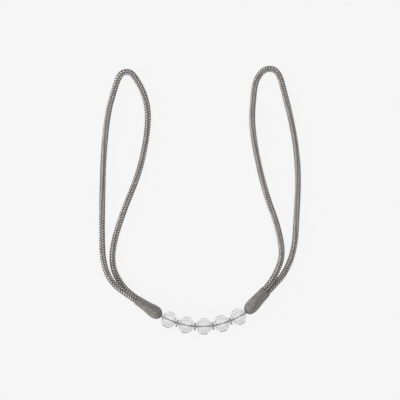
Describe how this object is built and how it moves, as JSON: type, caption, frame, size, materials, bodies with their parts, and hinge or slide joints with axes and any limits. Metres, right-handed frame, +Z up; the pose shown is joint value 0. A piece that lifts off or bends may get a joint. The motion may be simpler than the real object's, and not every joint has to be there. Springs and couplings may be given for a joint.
{
  "type": "beaded curtain tieback",
  "caption": "Curtain tieback of two braided cord loops, each held in a moulded end cap, joined by a row of clear faceted beads with metal spacers on a string.",
  "frame": {"origin": "on the resting surface, under the middle of the caps and bead row", "axes": "+Z up from the resting surface, +X along the bead row, +Y from the beads towards the far ends of the loops"},
  "size_m": [0.2157, 0.2862, 0.0171],
  "materials": {
    "braided_cord": "braided, slightly silky",
    "cap_plastic": "satin",
    "clear_acrylic": "clear, polished",
    "spacer_metal": "bright",
    "string": "matte"
  },
  "bodies": {
    "strap": {"left_loop_cord": "braided_cord", "right_loop_cord": "braided_cord", "left_end_cap": "cap_plastic", "right_end_cap": "cap_plastic", "bead_string": "string"},
    "bead_1": {"bead_1": "clear_acrylic"},
    "bead_2": {"bead_2": "clear_acrylic"},
    "bead_3": {"bead_3": "clear_acrylic"},
    "bead_4": {"bead_4": "clear_acrylic"},
    "bead_5": {"bead_5": "clear_acrylic"},
    "spacer_1": {"spacer_1": "spacer_metal"},
    "spacer_2": {"spacer_2": "spacer_metal"},
    "spacer_3": {"spacer_3": "spacer_metal"},
    "spacer_4": {"spacer_4": "spacer_metal"}
  },
  "joints": [
    {"name": "bead_1_turn", "type": "hinge", "parent": "strap", "child": "bead_1", "pos_m": [-0.03502, -0.00883, 0.0086], "axis": [0.915, -0.4034, 0], "continuous": true},
    {"name": "bead_2_turn", "type": "hinge", "parent": "strap", "child": "bead_2", "pos_m": [-0.01677, -0.01451, 0.0086], "axis": [0.9825, -0.186, 0], "continuous": true},
    {"name": "bead_3_turn", "type": "hinge", "parent": "strap", "child": "bead_3", "pos_m": [0.0023, -0.0159, 0.0086], "axis": [0.9992, 0.041, 0], "continuous": true},
    {"name": "bead_4_turn", "type": "hinge", "parent": "strap", "child": "bead_4", "pos_m": [0.02119, -0.01295, 0.0086], "axis": [0.964, 0.2659, 0], "continuous": true},
    {"name": "bead_5_turn", "type": "hinge", "parent": "strap", "child": "bead_5", "pos_m": [0.03892, -0.0058, 0.0086], "axis": [0.8789, 0.477, 0], "continuous": true},
    {"name": "spacer_1_turn", "type": "hinge", "parent": "strap", "child": "spacer_1", "pos_m": [-0.02622, -0.01272, 0.0086], "axis": [0.955, -0.2966, 0], "continuous": true},
    {"name": "spacer_2_turn", "type": "hinge", "parent": "strap", "child": "spacer_2", "pos_m": [-0.00731, -0.01629, 0.0086], "axis": [0.9973, -0.073, 0], "continuous": true},
    {"name": "spacer_3_turn", "type": "hinge", "parent": "strap", "child": "spacer_3", "pos_m": [0.01191, -0.01551, 0.0086], "axis": [0.988, 0.1545, 0], "continuous": true},
    {"name": "spacer_4_turn", "type": "hinge", "parent": "strap", "child": "spacer_4", "pos_m": [0.03046, -0.01039, 0.0086], "axis": [0.9275, 0.3739, 0], "continuous": true}
  ]
}
